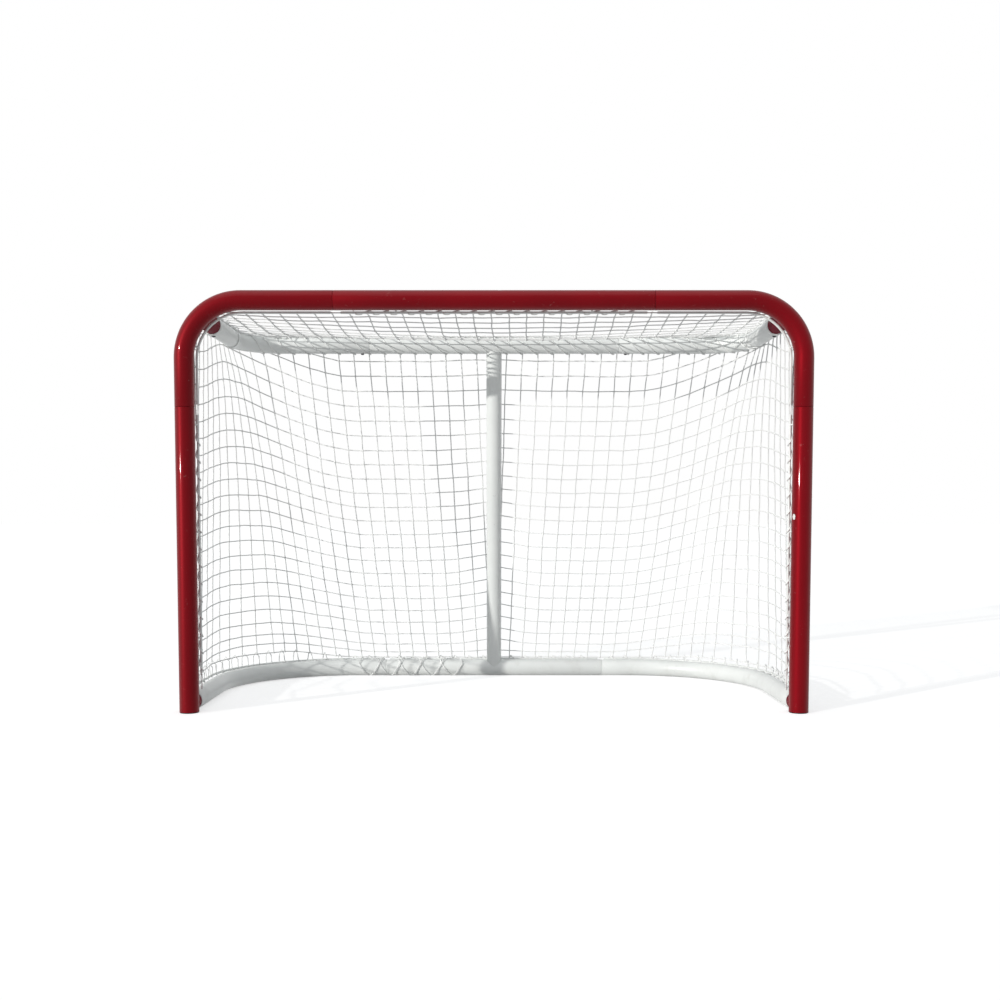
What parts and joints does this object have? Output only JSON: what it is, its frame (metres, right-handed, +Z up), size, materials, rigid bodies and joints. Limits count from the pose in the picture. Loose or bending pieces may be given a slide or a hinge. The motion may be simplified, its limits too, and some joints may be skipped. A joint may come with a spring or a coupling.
{
  "type": "street hockey goal",
  "caption": "Street hockey goal with a red tube front frame, white rear frames, a sloping rear upright and a white knotted net laced to the frame.",
  "frame": {"origin": "on the ground, at the middle of the bounding box's bottom face", "axes": "+X to the right along the crossbar as seen from the front, +Y towards the back of the goal, +Z up; the mouth faces -Y"},
  "size_m": [1.9616, 0.9234, 1.2923],
  "materials": {
    "red_paint": "gloss",
    "white_paint": "satin",
    "black_plastic": "matte",
    "black_steel": "satin",
    "white_twine": "matte"
  },
  "bodies": {
    "root": {"base_left_arm": "white_paint", "base_left_lacing": "white_twine", "base_left_lacing_rod": "white_paint", "base_rear_bar": "white_paint", "base_rear_lacing": "white_twine", "base_rear_lacing_rod": "white_paint", "base_right_arm": "white_paint", "base_right_lacing": "white_twine", "base_right_lacing_rod": "white_paint", "crossbar": "red_paint", "crossbar_lacing": "white_twine", "crossbar_lacing_rod": "white_paint", "left_base_arm_screw": "black_steel", "left_base_bar_screw": "black_steel", "left_corner": "red_paint", "left_corner_lacing_rod": "white_paint", "left_crossbar_screw": "black_steel", "left_foot": "black_plastic", "left_post": "red_paint", "left_post_lacing": "white_twine", "left_post_lacing_rod": "white_paint", "left_post_screw": "black_steel", "left_top_arm_screw": "black_steel", "left_top_bar_screw": "black_steel", "net_back": "white_twine", "net_left": "white_twine", "net_right": "white_twine", "net_top": "white_twine", "rear_upright": "white_paint", "right_base_arm_screw": "black_steel", "right_base_bar_screw": "black_steel", "right_corner": "red_paint", "right_corner_lacing_rod": "white_paint", "right_crossbar_screw": "black_steel", "right_foot": "black_plastic", "right_post": "red_paint", "right_post_lacing": "white_twine", "right_post_lacing_rod": "white_paint", "right_post_screw": "black_steel", "right_top_arm_screw": "black_steel", "right_top_bar_screw": "black_steel", "top_lacing": "white_twine", "top_left_bend": "white_paint", "top_rear_bar": "white_paint", "top_right_bend": "white_paint"}
  },
  "joints": []
}
